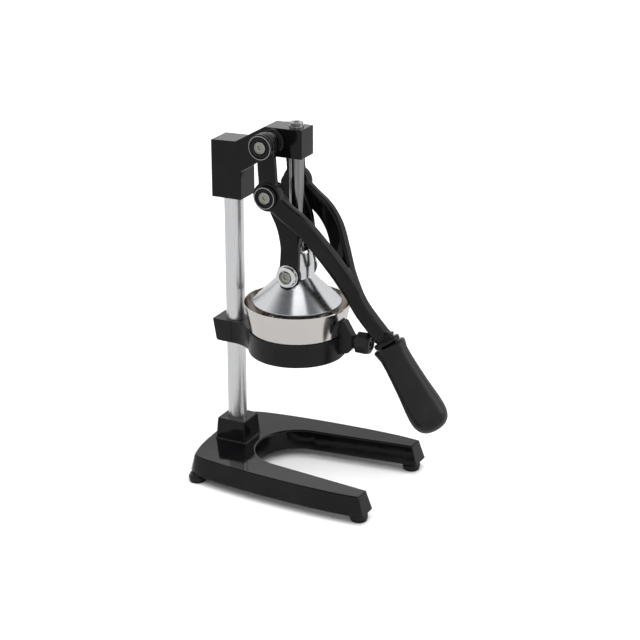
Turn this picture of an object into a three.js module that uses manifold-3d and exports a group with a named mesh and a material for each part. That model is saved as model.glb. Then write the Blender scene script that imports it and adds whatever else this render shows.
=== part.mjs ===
// Hand-lever citrus press. Millimetres, +Z up, handle side towards -Y, left and right are -X and +X.
// Origin: the middle of the press's outer box, on the surface that its feet stand on.
// Most places are given as distance forward of the column's axis, and height.
import * as THREE from 'three';
import { mergeVertices } from 'three/addons/utils/BufferGeometryUtils.js';
import Module from 'manifold-3d';

// ---- driving dimensions ------------------------------------------------------------------
const COLUMN_Y = 106.35; // column axis, behind the origin
const GAP = 0.3; // between pieces that touch
const PRESS_REACH = 74.1; // column axis to the axis of the cup and the plunger

const FOOT = { radius: 9.8, height: 7, frontX: 67.5, front: 179.5, rearX: 62.5, rear: -16 };
const BASE = { bottom: 9.8, top: 31.2, draft: 3, endDraft: 6.5, front: 183.5, opening: 46.4, legInner: 59 };
const BOSS = { top: 56, halfTop: 15.3, halfBottom: 17.4 };
const COLUMN = { radius: 10.2, bottom: 22, top: 360 };

const BRACKET = { bottom: 146, top: 171, half: 14.2, rear: -21.4, ringRadius: 52, flare: 34, hole: 35 };
const LUG = { half: 7, top: 190.5, front: 141.4 };
const BUMPER = { radius: 12.2, start: 141.8, end: 160.4, z: 168 };
const STOP_SCREW = { tip: 131.2, radius: 2.6, hole: 3, head: 5.2, sunk: 4 };

const CUP = { rimZ: 202.5, rimRadius: 57, taper: 0.215, wall: 1.2, outlet: 13, seat: 163 };

const HEAD = { bottom: 308.4, halfRear: 16, halfFront: 13.3, rear: -17.3, front: 86.7, top: 390.4 };
const ROD = { radius: 7.5, top: 395.4, bottom: 212 };
const BUSH = { outer: 9.7, inner: 7.8, height: 9 };

// pivots, as [forward of the column, height]
const LEVER_PIVOT = [55, 376.2];
const CRANK_PIVOT = [58.6, 323.6];
const LINK_PIVOT = [PRESS_REACH, 236];

const PLATE = { inner: 26.6, outer: 35.2, width: 17.5 }; // side plates of the lever
const CRANK_BOSS = { radius: 15.4, inner: 26, outer: 37.4 };
const LINK = { inner: 15, outer: 21.2, eye: 13.2, crankEye: 11.4 };
const PIN_RADIUS = 6;
const SCREW = { radius: 2.9, head: 6.3, clearance: 3.3 };
const SET_SCREW = { radius: 2.9, hole: 3.2, bracketZ: 158, headZ: 340 };
const CONE = {
  edgeZ: 203, edgeRadius: 46.8, lip: 3.4, wall: 3.4, neckRadius: 18, neckTop: 261.4, flat: 14.7,
};

const SHAFT_HALF = 7.6; // the lever's single bar, half of its thickness
const COLLAR = [178.6, 173.2];
const GRIP_AXIS = [0.552, -0.834]; // direction of the grip, forward and up

const wasm = await Module();
wasm.setup();

// ---- finishes ----------------------------------------------------------------------------
const finish = (color, roughness, metalness) => (
  new THREE.MeshStandardMaterial({ color, roughness, metalness }));
const enamel = finish(0x141416, 0.22, 0.1);
const satinEnamel = finish(0x1d1d20, 0.38, 0.1);
const chrome = finish(0xd6d8da, 0.12, 1);
const stainless = finish(0xc9c6c0, 0.2, 1);
const aluminium = finish(0xb9bbbe, 0.25, 1);
const rubber = finish(0x17181a, 0.7, 0);
const bronze = finish(0xa9824a, 0.4, 1);
const zinc = finish(0xa4a59f, 0.4, 1);

// ---- solids ------------------------------------------------------------------------------
function signedVolume(position, index) {
  const corner = [0, 1, 2].map(() => new THREE.Vector3());
  let sum = 0;
  for (let i = 0; i < index.count; i += 3) {
    corner.forEach((point, k) => point.fromBufferAttribute(position, index.getX(i + k)));
    sum += corner[0].dot(corner[1].cross(corner[2]));
  }
  return sum / 6;
}

// Any closed three.js geometry as a solid whose faces point out.
function solid(geometry) {
  const bare = geometry.clone();
  bare.deleteAttribute('normal');
  bare.deleteAttribute('uv');
  const merged = mergeVertices(bare, 1e-4);
  const position = merged.attributes.position;
  const triVerts = new Uint32Array(merged.index.array);
  if (signedVolume(position, merged.index) < 0) triVerts.reverse();
  return new wasm.Manifold(new wasm.Mesh({
    numProp: 3,
    vertProperties: new Float32Array(position.array),
    triVerts,
  }));
}

function geometryOf(manifold) {
  const mesh = manifold.getMesh();
  const geometry = new THREE.BufferGeometry();
  geometry.setAttribute('position', new THREE.BufferAttribute(new Float32Array(mesh.vertProperties), 3));
  geometry.setIndex(new THREE.BufferAttribute(new Uint32Array(mesh.triVerts), 1));
  return geometry;
}

const join = (first, ...rest) => rest.reduce((sum, next) => sum.add(next), first);
const cut = (first, ...rest) => rest.reduce((left, next) => left.subtract(next), first);

// ---- shapes ------------------------------------------------------------------------------
const toY = (forward) => COLUMN_Y - forward;
const vec = ([a, b]) => new THREE.Vector2(a, b);
const polygon = (points) => new THREE.Shape(points.map(vec));

function extrusion(shape, depth, bevel) {
  return new THREE.ExtrudeGeometry(shape, {
    depth: depth - 2 * bevel,
    bevelEnabled: bevel > 0,
    bevelThickness: bevel,
    bevelSize: bevel,
    bevelOffset: -bevel,
    bevelSegments: 1,
  }).translate(0, 0, bevel);
}

// A side-view shape (forward, height), from x0 to x1.
const SIDE_VIEW = new THREE.Matrix4().set(0, 0, -1, 0, -1, 0, 0, COLUMN_Y, 0, 1, 0, 0, 0, 0, 0, 1);
function sidePlate(shape, x0, x1, bevel = 0) {
  return solid(extrusion(shape, x1 - x0, bevel).translate(0, 0, -x1).applyMatrix4(SIDE_VIEW));
}

// A top-view shape (x, y), from z0 to z1.
function flatPlate(shape, z0, z1, bevel = 0) {
  return solid(extrusion(shape, z1 - z0, bevel).translate(0, 0, z0));
}

// A round bar along X, through a side-view point.
function crossBar(point, radius, x0, x1, segments = 20) {
  const bar = new THREE.CylinderGeometry(radius, radius, x1 - x0, segments).rotateZ(Math.PI / 2);
  return solid(bar.translate((x0 + x1) / 2, toY(point[0]), point[1]));
}

// A round bar standing up.
function upright(forward, radius, z0, z1, segments = 28, x = 0) {
  const bar = new THREE.CylinderGeometry(radius, radius, z1 - z0, segments).rotateX(Math.PI / 2);
  return solid(bar.translate(x, toY(forward), (z0 + z1) / 2));
}

// A box round a middle point.
function block(x, forward, z, sizeX, sizeForward, sizeZ) {
  return solid(new THREE.BoxGeometry(sizeX, sizeForward, sizeZ).translate(x, toY(forward), z));
}

// A turned piece on an upright axis; the profile is a list of [radius, height].
function turned(profile, forward, segments = 32, x = 0) {
  const lathe = new THREE.LatheGeometry(profile.map(vec), segments).rotateX(Math.PI / 2);
  return solid(lathe.translate(x, toY(forward), 0));
}

// A turned piece on the middle line, its axis pointing forward; the profile is [radius, forward].
function alongForward(profile, z, segments = 20) {
  const lathe = new THREE.LatheGeometry(profile.map(vec), segments).rotateX(Math.PI);
  return solid(lathe.translate(0, COLUMN_Y, z));
}

// The same two distances from the middle, on either side, lowest first.
const span = (side, near, far) => (side > 0 ? [near, far] : [-far, -near]);

// A turned piece on a sideways axis; the profile is a list of [radius, distance from the middle].
function turnedAcross(profile, point, side, segments = 20) {
  const lathe = new THREE.LatheGeometry(profile.map(vec), segments).rotateZ(-side * Math.PI / 2);
  return solid(lathe.translate(0, toY(point[0]), point[1]));
}

// A turned piece on the grip's axis; the profile is a list of [radius, distance past the collar].
function turnedOnGrip(profile, segments = 22) {
  const lathe = new THREE.LatheGeometry(profile.map(vec), segments);
  lathe.rotateX(Math.atan2(GRIP_AXIS[1], -GRIP_AXIS[0]));
  return solid(lathe.translate(0, toY(COLLAR[0]), COLLAR[1]));
}

// Outline of a flat bar along a curve, with a width at each end of it and in between.
function barOutline(points, widths, steps = 10) {
  const curve = new THREE.SplineCurve(points.map(vec));
  const left = [];
  const right = [];
  for (let i = 0; i <= steps; i += 1) {
    const t = i / steps;
    const at = curve.getPoint(t);
    const along = curve.getTangent(t);
    const place = t * (widths.length - 1);
    const low = Math.min(Math.floor(place), widths.length - 2);
    const half = THREE.MathUtils.lerp(widths[low], widths[low + 1], place - low) / 2;
    left.push(new THREE.Vector2(at.x - along.y * half, at.y + along.x * half));
    right.unshift(new THREE.Vector2(at.x + along.y * half, at.y - along.x * half));
  }
  return new THREE.Shape([...left, ...right]);
}

// A rectangle with rounded corners, as a bar's cross-section.
function roundedSection(halfWidth, halfHeight, corner) {
  const shape = new THREE.Shape();
  const w = halfWidth - corner;
  const h = halfHeight - corner;
  shape.absarc(w, h, corner, 0, Math.PI / 2);
  shape.absarc(-w, h, corner, Math.PI / 2, Math.PI);
  shape.absarc(-w, -h, corner, Math.PI, 1.5 * Math.PI);
  shape.absarc(w, -h, corner, 1.5 * Math.PI, 2 * Math.PI);
  shape.closePath();
  return shape;
}

// A bar swept along a curve through points given as [x, forward, height].
function swept(points, section, steps) {
  const places = points.map(([x, forward, z]) => new THREE.Vector3(x, toY(forward), z));
  const path = new THREE.CatmullRomCurve3(places);
  return solid(new THREE.ExtrudeGeometry(section, { extrudePath: path, steps, curveSegments: 1 }));
}

// ---- the object --------------------------------------------------------------------------
const press = new THREE.Group();
press.name = 'citrus_press';
const SIDES = [['left', -1], ['right', 1]];

function add(name, made, material) {
  const mesh = new THREE.Mesh(geometryOf(made), material);
  mesh.name = name;
  press.add(mesh);
}

// ---- base, feet and column ---------------------------------------------------------------
// The horseshoe outline; grow pushes its sides outwards and ends its front and rear, for the wider
// underside of the casting.
function baseOutline(grow, ends) {
  const front = BASE.front + ends;
  const side = [[78 + grow, front], [80.4 + grow, 158], [80.4 + grow, 118], [77.6 + grow, 62],
    [72.5 + grow, 14], [66.5 + grow, -14], [56, -21 - ends], [30, -26 - ends], [0, -27.6 - ends]];
  const right = new THREE.SplineCurve(side.map(vec)).getPoints(24);
  const left = right.slice(0, -1).reverse().map((point) => new THREE.Vector2(-point.x, point.y));
  const opening = BASE.opening - grow;
  const inside = [[-(BASE.legInner - grow), front]];
  const turns = 20;
  for (let i = 0; i <= turns; i += 1) {
    const angle = Math.PI * (1 + i / turns);
    inside.push([opening * Math.cos(angle), PRESS_REACH + opening * Math.sin(angle)]);
  }
  inside.push([BASE.legInner - grow, front]);
  const points = [...right, ...left, ...inside.map(vec)];
  return points.map((point) => new THREE.Vector2(point.x, toY(point.y)));
}

// A plate whose lower outline is larger than its upper one, point for point.
function draftedPlate(upper, lower, z0, z1) {
  const shape = new THREE.Shape(upper);
  const geometry = new THREE.ExtrudeGeometry(shape, { depth: z1 - z0, bevelEnabled: false });
  const position = geometry.attributes.position;
  for (let i = 0; i < position.count; i += 1) {
    if (position.getZ(i) === 0) {
      const x = position.getX(i);
      const y = position.getY(i);
      const match = upper.findIndex((point) => Math.hypot(point.x - x, point.y - y) < 1e-3);
      position.setXY(i, lower[match].x, lower[match].y);
    }
  }
  return solid(geometry.translate(0, 0, z0));
}

const square = (half) => [[half, half], [-half, half], [-half, -half], [half, -half]].map(([x, y]) => (
  new THREE.Vector2(x, y + COLUMN_Y)));

const columnWasher = { radius: 12, height: 2.5 };
const columnBolt = { head: 9, headHeight: 6, thread: 5 };
const recess = { radius: 14, depth: 9 };
const columnFloor = BASE.bottom + recess.depth;

const footPlaces = SIDES.flatMap(([name, side]) => [
  [`front_${name}`, side * FOOT.frontX, FOOT.front],
  [`rear_${name}`, side * FOOT.rearX, FOOT.rear],
]);

const boltHole = upright(0, columnBolt.thread + GAP, BASE.bottom - 1, COLUMN.bottom + 1, 16);
const baseCasting = join(
  draftedPlate(baseOutline(0, 0), baseOutline(BASE.draft, BASE.endDraft), BASE.bottom, BASE.top),
  draftedPlate(square(BOSS.halfTop), square(BOSS.halfBottom), BASE.top - 0.5, BOSS.top),
);
add('base', cut(
  baseCasting,
  upright(0, COLUMN.radius + GAP, COLUMN.bottom - GAP, BOSS.top + 1),
  boltHole,
  upright(0, recess.radius, BASE.bottom - 1, columnFloor, 24),
), enamel);

for (const [place, x, forward] of footPlaces) {
  const profile = [[0, 0], [FOOT.radius - 1.4, 0], [FOOT.radius, 1.6], [FOOT.radius, FOOT.height],
    [8.4, BASE.bottom - GAP], [0, BASE.bottom - GAP]];
  add(`foot_${place}`, turned(profile, forward, 16, x), rubber);
}

const columnBar = cut(
  turned([[0, COLUMN.bottom], [COLUMN.radius, COLUMN.bottom], [COLUMN.radius, COLUMN.top - 1],
    [COLUMN.radius - 1, COLUMN.top], [0, COLUMN.top]], 0, 28),
  upright(0, columnBolt.thread + GAP, COLUMN.bottom - 1, COLUMN.bottom + 20, 16),
);
add('column', columnBar, chrome);

const washerTop = columnFloor - GAP;
const washerBottom = washerTop - columnWasher.height;
const washerBore = columnBolt.thread + GAP;
add('column_washer', turned([[washerBore, washerBottom], [columnWasher.radius, washerBottom],
  [columnWasher.radius, washerTop], [washerBore, washerTop], [washerBore, washerBottom]], 0, 16), zinc);
const headTop = washerBottom - GAP;
add('column_bolt', join(
  upright(0, columnBolt.head, headTop - columnBolt.headHeight, headTop, 6),
  upright(0, columnBolt.thread, headTop - 1, COLUMN.bottom + 18, 16),
), zinc);

// ---- cup bracket, lug and bumper ---------------------------------------------------------
const cupRadiusAt = (z) => CUP.rimRadius - (CUP.rimZ - z) * CUP.taper;

// The clamp block and its arm, which flares into the ring by an arc that touches both.
function bracketOutline() {
  const { half, rear, ringRadius, flare } = BRACKET;
  const flareX = half + flare;
  const flareForward = PRESS_REACH - Math.sqrt((ringRadius + flare) ** 2 - flareX ** 2);
  const meetAngle = Math.atan2(PRESS_REACH - flareForward, -flareX);
  const turns = 8;
  const right = [[half, rear], [half, flareForward]];
  for (let i = 1; i <= turns; i += 1) {
    const angle = Math.PI + (meetAngle - Math.PI) * (i / turns);
    right.push([flareX + flare * Math.cos(angle), flareForward + flare * Math.sin(angle)]);
  }
  const start = Math.atan2(right.at(-1)[1] - PRESS_REACH, right.at(-1)[0]);
  const ringTurns = 30;
  for (let i = 1; i < ringTurns; i += 1) {
    const angle = start + (Math.PI - 2 * start) * (i / ringTurns);
    right.push([ringRadius * Math.cos(angle), PRESS_REACH + ringRadius * Math.sin(angle)]);
  }
  const left = right.slice(0, turns + 2).reverse().map(([x, forward]) => [-x, forward]);
  return polygon([...right, ...left].map(([x, forward]) => [x, toY(forward)]));
}

// What the ring and the lug leave clear: the cup's wall, its bottom and the hole for its outlet.
const seatClear = GAP + 0.2;
const bracketCut = turned([
  [0, BRACKET.bottom - 1], [BRACKET.hole, BRACKET.bottom - 1], [BRACKET.hole, 150.5], [40, 151.5],
  [46.4, 157], [cupRadiusAt(CUP.seat) + seatClear, CUP.seat],
  [cupRadiusAt(BRACKET.top + 1) + GAP, BRACKET.top + 1], [0, BRACKET.top + 1]], PRESS_REACH, 40);
const cupClear = turned([[0, BRACKET.bottom], [46, BRACKET.bottom], [cupRadiusAt(CUP.seat) + GAP, CUP.seat],
  [cupRadiusAt(CUP.rimZ) + GAP, CUP.rimZ], [0, CUP.rimZ]], PRESS_REACH, 40);
const lugShape = polygon([[117, 150], [136.5, 155], [LUG.front, 159.5], [LUG.front, 175.5], [138, 178.4],
  [135.6, 185], [131.4, LUG.top], [126, LUG.top - 3], [117, 167]]);

// A round hole that runs forward, for a screw.
const screwHole = (radius, from, to, z) => (
  alongForward([[0, from], [radius, from], [radius, to], [0, to]], z, 12));
add('cup_bracket', cut(
  join(
    cut(flatPlate(bracketOutline(), BRACKET.bottom, BRACKET.top, 1.6), bracketCut),
    cut(sidePlate(lugShape, -LUG.half, LUG.half, 1), cupClear, bracketCut),
  ),
  upright(0, COLUMN.radius + GAP, BRACKET.bottom - 1, BRACKET.top + 1),
  screwHole(STOP_SCREW.hole, STOP_SCREW.tip - 1, LUG.front + 1, BUMPER.z),
  screwHole(SET_SCREW.hole, BRACKET.rear - 1, 0, SET_SCREW.bracketZ),
), satinEnamel);

// A socket set screw, from a rear face to the column.
function setScrew(name, z, rear) {
  const tip = -COLUMN.radius - GAP;
  const body = screwHole(SET_SCREW.radius, rear, tip, z);
  const socket = new THREE.CylinderGeometry(1.6, 1.6, 5, 6).translate(0, toY(rear), z);
  add(name, cut(body, solid(socket)), zinc);
}
setScrew('bracket_set_screw', SET_SCREW.bracketZ, BRACKET.rear + 1.4);

const stopBore = STOP_SCREW.radius + GAP;
const stopSeat = BUMPER.end - STOP_SCREW.sunk;
add('stop_bumper', alongForward([[stopBore, BUMPER.start], [7.6, BUMPER.start], [8, BUMPER.start + 1.6],
  [BUMPER.radius, BUMPER.start + 4], [BUMPER.radius, BUMPER.end - 3], [BUMPER.radius - 2.6, BUMPER.end],
  [STOP_SCREW.head + 0.4, BUMPER.end], [STOP_SCREW.head + 0.4, stopSeat], [stopBore, stopSeat],
  [stopBore, BUMPER.start]], BUMPER.z), rubber);
add('stop_screw', alongForward([[0, STOP_SCREW.tip], [STOP_SCREW.radius, STOP_SCREW.tip],
  [STOP_SCREW.radius, stopSeat + GAP], [STOP_SCREW.head, stopSeat + GAP],
  [STOP_SCREW.head, BUMPER.end - 0.8], [0, BUMPER.end - 0.8]], BUMPER.z, 14), zinc);

// ---- juice cup and strainer --------------------------------------------------------------
// A tapered wall over a curved bottom, with a spout down the middle; rests on the ring by its bottom.
function juiceCup() {
  const { seat } = CUP;
  const inner = (z) => cupRadiusAt(z) - CUP.wall;
  return turned([
    [CUP.outlet, 141], [CUP.outlet, 150.5], [36, 153], [44.8, 157.8], [inner(seat), seat],
    [inner(CUP.rimZ), CUP.rimZ], [CUP.rimRadius, CUP.rimZ], [cupRadiusAt(seat), seat], [45.8, 156.8],
    [36.4, 151.8], [CUP.outlet + CUP.wall, 149], [CUP.outlet + CUP.wall, 141], [CUP.outlet, 141]],
  PRESS_REACH, 40);
}
add('juice_cup', juiceCup(), stainless);

// A domed cone that the fruit half sits on, with slots through its wall, on a flange in the cup.
function strainer() {
  const wall = 1.4;
  const shell = turned([
    [43.6, 166], [43.6, 167.4], [39, 167.4], [30, 186], [18, 201], [0, 210.5],
    [0, 210.5 - wall], [17.2, 199.8], [28.8, 185.2], [38, 166], [43.6, 166]], PRESS_REACH, 32);
  const slots = [];
  const count = 8;
  for (let i = 0; i < count; i += 1) {
    const slot = new THREE.BoxGeometry(20, 2.4, 9).translate(32, 0, 180);
    slot.rotateZ((i / count) * 2 * Math.PI);
    slots.push(solid(slot.translate(0, toY(PRESS_REACH), 0)));
  }
  return cut(shell, ...slots);
}
add('strainer_cone', strainer(), stainless);

// ---- head --------------------------------------------------------------------------------
// A tall clamp at the column with an arm to the rod's guide, narrower towards its front.
function headCasting() {
  const side = polygon([[HEAD.rear, HEAD.bottom], [16.9, HEAD.bottom], [16.9, 339.6], [51, 359.8],
    [HEAD.front, 360], [HEAD.front, HEAD.top], [44.5, 389.8], [11, 370.8], [HEAD.rear, 369.8]]);
  const plate = extrusion(side, 2 * HEAD.halfRear, 1.2).translate(0, 0, -HEAD.halfRear);
  plate.applyMatrix4(SIDE_VIEW);
  const narrow = (HEAD.halfFront / HEAD.halfRear - 1) / (HEAD.front - HEAD.rear);
  const position = plate.attributes.position;
  for (let i = 0; i < position.count; i += 1) {
    const forward = toY(position.getY(i));
    position.setX(i, position.getX(i) * (1 + narrow * (forward - HEAD.rear)));
  }
  return cut(
    solid(plate),
    upright(0, COLUMN.radius + GAP, HEAD.bottom - 1, COLUMN.top + GAP),
    upright(PRESS_REACH, BUSH.outer + GAP, 350, 398),
    crossBar(LEVER_PIVOT, PIN_RADIUS + GAP, -20, 20),
    screwHole(SET_SCREW.hole, HEAD.rear - 1, 0, SET_SCREW.headZ),
  );
}
add('head', headCasting(), enamel);
setScrew('head_set_screw', SET_SCREW.headZ, HEAD.rear + 1);

// A tube on the press axis between two heights.
const tube = (inner, outer, z0, z1, segments) => turned(
  [[inner, z0], [outer, z0], [outer, z1], [inner, z1], [inner, z0]], PRESS_REACH, segments);
for (const [name, bottom] of [['lower', 360.6], ['upper', 381]]) {
  add(`rod_bush_${name}`, tube(BUSH.inner, BUSH.outer, bottom, bottom + BUSH.height, 24), bronze);
}

// ---- lever pivot -------------------------------------------------------------------------
// The shaft's two ends differ: a large capped eye on the left, a slim one with a washer on the right.
const PIVOT_END = {
  left: { shaft: 39, eye: 38.8, eyeRadius: 13, tipRadius: 13 },
  right: { shaft: 35.2, eye: 35.4, eyeRadius: 9.2, tipRadius: 7.6 },
};
add('lever_pivot_shaft', cut(
  crossBar(LEVER_PIVOT, PIN_RADIUS, -PIVOT_END.left.shaft, PIVOT_END.right.shaft),
  ...SIDES.map(([name, side]) => (
    crossBar(LEVER_PIVOT, SCREW.clearance, ...span(side, 24, PIVOT_END[name].shaft + 1), 12))),
), zinc);

// A domed cap with a rim and a pocket for its screw, between two distances from the middle.
function domedCap(point, side, radius, x0, x1) {
  const pocket = SCREW.head + 0.5;
  return turnedAcross([[SCREW.clearance, x0], [radius, x0], [radius, x1 - 1.2], [radius - 1.4, x1],
    [pocket, x1], [pocket, x1 - 3], [SCREW.clearance, x1 - 3], [SCREW.clearance, x0]], point, side);
}

// A round-headed screw with a drive recess; seat is the underside of its head.
function socketScrew(point, side, seat, length) {
  return turnedAcross([[0, seat - length], [SCREW.radius, seat - length], [SCREW.radius, seat],
    [SCREW.head, seat], [SCREW.head, seat + 2.6], [2.8, seat + 2.6], [2.8, seat + 1], [0, seat + 1]],
  point, side, 12);
}

// A turned collar round a pin or a screw, between two distances from the middle.
const ringAcross = (point, side, outer, x0, x1, bore = PIN_RADIUS + GAP) => (
  turnedAcross([[bore, x0], [outer, x0], [outer, x1], [bore, x1], [bore, x0]], point, side));

// A short pin with a hole in its outer end for the cap's screw.
const drilledPin = (point, side, x0, x1, holeFrom) => cut(
  crossBar(point, PIN_RADIUS, ...span(side, x0, x1)),
  crossBar(point, SCREW.clearance, ...span(side, holeFrom, x1 + 1), 12),
);

for (const [name, side] of SIDES) {
  add(`pivot_spacer_${name}`, join(
    ringAcross(LEVER_PIVOT, side, 13.4, 14.9, 17.4),
    ringAcross(LEVER_PIVOT, side, 11.4, 17.2, 25.6),
  ), enamel);
}
add('pivot_cap_left', domedCap(LEVER_PIVOT, -1, 13.5, 39.3, 44.2), enamel);
add('pivot_screw_left', socketScrew(LEVER_PIVOT, -1, 41.5, 15), zinc);
add('pivot_washer_right', ringAcross(LEVER_PIVOT, 1, 7, 35.7, 37.5, SCREW.clearance), enamel);
add('pivot_screw_right', socketScrew(LEVER_PIVOT, 1, 37.8, 12), zinc);

// ---- lever -------------------------------------------------------------------------------
// middle lines of one arm of the fork and of the single bar, as [across, forward, height]
const ARM_PATH = [[31, ...CRANK_PIVOT], [30.4, 76, 309.3], [28.6, 92.5, 297.3], [24.1, 106.2, 281.5],
  [14.6, 118, 261], [5, 129.4, 239], [0, 140.6, 219]];
const BAR_PATH = [[0, 127, 245], [0, 134.8, 230.4], [0, 147.8, 207.6], [0, 162.6, 190.2], [0, 178.6, 173.2]];

// Two side plates hung on the pivot shaft, each running into a curved arm; the arms meet in one bar
// that ends in a collar and a tang inside the grip.
function leverCasting() {
  const bar = swept(BAR_PATH, roundedSection(SHAFT_HALF, SHAFT_HALF + 0.4, 4.6), 8);
  const collar = turnedOnGrip([[0, -8], [10.6, -8], [11, -5.2], [9.6, -4.4], [9.6, -3.2], [14.4, -2.6],
    [14.6, 1.6], [14, 2.2], [8, 2.2], [8, 62], [0, 62]], 18);
  const sides = SIDES.flatMap(([name, side]) => {
    const { eye, eyeRadius, tipRadius } = PIVOT_END[name];
    return [
      sidePlate(barOutline([CRANK_PIVOT, LEVER_PIVOT], [PLATE.width, PLATE.width], 1),
        ...span(side, PLATE.inner, PLATE.outer), 1),
      turnedAcross([[0, CRANK_BOSS.inner], [eyeRadius, CRANK_BOSS.inner], [tipRadius, eye], [0, eye]],
        LEVER_PIVOT, side, 24),
      crossBar(CRANK_PIVOT, CRANK_BOSS.radius, ...span(side, CRANK_BOSS.inner, CRANK_BOSS.outer), 24),
      swept(ARM_PATH.map(([x, forward, z]) => [side * x, forward, z]), roundedSection(6.2, 9.6, 2.6), 12),
    ];
  });
  return cut(
    join(bar, collar, ...sides),
    crossBar(LEVER_PIVOT, PIN_RADIUS + GAP, -PIVOT_END.left.shaft - 1, PIVOT_END.right.shaft + 1),
    ...SIDES.map(([, side]) => crossBar(CRANK_PIVOT, PIN_RADIUS + GAP, ...span(side, 20, 40))),
    crossBar(CRANK_PIVOT, 20, -CRANK_BOSS.inner, CRANK_BOSS.inner),
  );
}
add('lever', leverCasting(), enamel);

// A soft sleeve with a guard lip, slimmer behind it and fullest near its closed end.
add('handle_grip', turnedOnGrip([
  [8.3, 2.6], [17.6, 2.6], [18.2, 4.4], [17, 8], [15.2, 14], [15.1, 24], [15.8, 38], [17.3, 56],
  [19.5, 73], [20.4, 82.5], [19.8, 91], [16.9, 98.2], [11.3, 102.6], [5, 104.2], [0, 104.4], [0, 63],
  [8.3, 63], [8.3, 2.6],
], 20), rubber);

for (const [name, side] of SIDES) {
  add(`crank_pin_${name}`, drilledPin(CRANK_PIVOT, side, CRANK_BOSS.inner, 37.6, 28), zinc);
  add(`crank_cap_${name}`, domedCap(CRANK_PIVOT, side, 12.4, 38, 42.4), enamel);
  add(`crank_screw_${name}`, socketScrew(CRANK_PIVOT, side, 39.7, 9), zinc);
}

// ---- links -------------------------------------------------------------------------------
const LINK_PATH = [CRANK_PIVOT, [65, 307], [72.4, 289], [75.6, 268], [75.4, 252], LINK_PIVOT];
const LINK_WIDTHS = [20, 24.5, 23, 20.5, 21, 22];
const crankEyeEnd = CRANK_BOSS.inner - GAP;
for (const [name, side] of SIDES) {
  add(`link_${name}`, cut(
    join(
      sidePlate(barOutline(LINK_PATH, LINK_WIDTHS), ...span(side, LINK.inner, LINK.outer), 0.8),
      crossBar(CRANK_PIVOT, LINK.crankEye, ...span(side, LINK.inner, crankEyeEnd)),
      crossBar(LINK_PIVOT, LINK.eye, ...span(side, LINK.inner, LINK.outer), 24),
    ),
    crossBar(LINK_PIVOT, PIN_RADIUS + GAP, ...span(side, 10, 30)),
  ), enamel);
  add(`link_pin_${name}`, drilledPin(LINK_PIVOT, side, LINK.inner, 22.6, 16), zinc);
  add(`link_washer_${name}`, ringAcross(LINK_PIVOT, side, 12.2, LINK.outer + GAP, 22.9), enamel);
  add(`link_cap_${name}`, domedCap(LINK_PIVOT, side, 11.2, 23.2, 27.4), chrome);
  add(`link_screw_${name}`, socketScrew(LINK_PIVOT, side, 24.7, 8), zinc);
}

// ---- plunger -----------------------------------------------------------------------------
const TENON = { radius: 5, top: 226 }; // the rod's thin lower end, held in the bell by a nut
add('plunger_rod', turned([[0, ROD.bottom], [TENON.radius, ROD.bottom], [TENON.radius, TENON.top],
  [ROD.radius, TENON.top], [ROD.radius, ROD.top - 1.2], [ROD.radius - 1.2, ROD.top], [0, ROD.top]],
PRESS_REACH, 24), chrome);

// A 45 degree bell whose neck has a flat and a round pocket for each link; the inside is a shallower
// bell that clears the strainer.
function pressCone() {
  const { edgeZ, edgeRadius, neckRadius, flat, neckTop, lip, wall } = CONE;
  const coneTop = edgeZ + edgeRadius - neckRadius;
  const inside = edgeRadius - wall;
  const bell = turned([
    [inside, edgeZ - lip], [edgeRadius, edgeZ - lip], [edgeRadius, edgeZ], [neckRadius, coneTop],
    [neckRadius, neckTop - 1], [neckRadius - 1, neckTop], [0, neckTop], [0, 219], [14, 219], [22, 217],
    [inside, edgeZ - 1], [inside, edgeZ - lip]], PRESS_REACH, 40);
  const flats = SIDES.flatMap(([, side]) => [
    block(side * (flat + 10), PRESS_REACH, 250, 20, 2 * neckRadius, 2 * (250 - LINK_PIVOT[1])),
    crossBar(LINK_PIVOT, LINK.eye + GAP, ...span(side, flat, flat + 16), 24),
  ]);
  return cut(
    bell,
    ...flats,
    upright(PRESS_REACH, TENON.radius + GAP, 190, TENON.top, 20),
    upright(PRESS_REACH, ROD.radius + GAP, TENON.top - GAP, neckTop + 1),
  );
}
add('press_cone', pressCone(), aluminium);

add('cone_nut', cut(
  upright(PRESS_REACH, 8.4, 213.4, 218.7, 6),
  upright(PRESS_REACH, TENON.radius + GAP, 212, 220, 16),
), zinc);

export default press;
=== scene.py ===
"""Hand-lever citrus press: black enamelled castings on a chromed column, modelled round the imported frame."""

import math

import bmesh
import bpy
from bpy.props import FloatProperty, FloatVectorProperty, IntProperty, PointerProperty
from mathutils import Matrix, Vector


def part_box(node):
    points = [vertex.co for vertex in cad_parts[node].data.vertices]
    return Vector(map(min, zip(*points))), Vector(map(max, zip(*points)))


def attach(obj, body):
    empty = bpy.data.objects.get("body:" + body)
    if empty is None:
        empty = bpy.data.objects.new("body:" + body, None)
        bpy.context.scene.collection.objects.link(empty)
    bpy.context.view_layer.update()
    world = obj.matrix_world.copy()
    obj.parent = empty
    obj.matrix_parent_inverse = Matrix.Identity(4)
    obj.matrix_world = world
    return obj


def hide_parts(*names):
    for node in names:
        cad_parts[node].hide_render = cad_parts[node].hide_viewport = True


bl_info = {
    "name": "Hand-lever citrus press",
    "version": (1, 0, 0),
    "blender": (4, 5, 0),
    "location": "View3D > Sidebar > Citrus press",
    "description": "Builds an enamelled citrus press with a forked lever, one piece at a time",
    "category": "Add Mesh",
}

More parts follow.
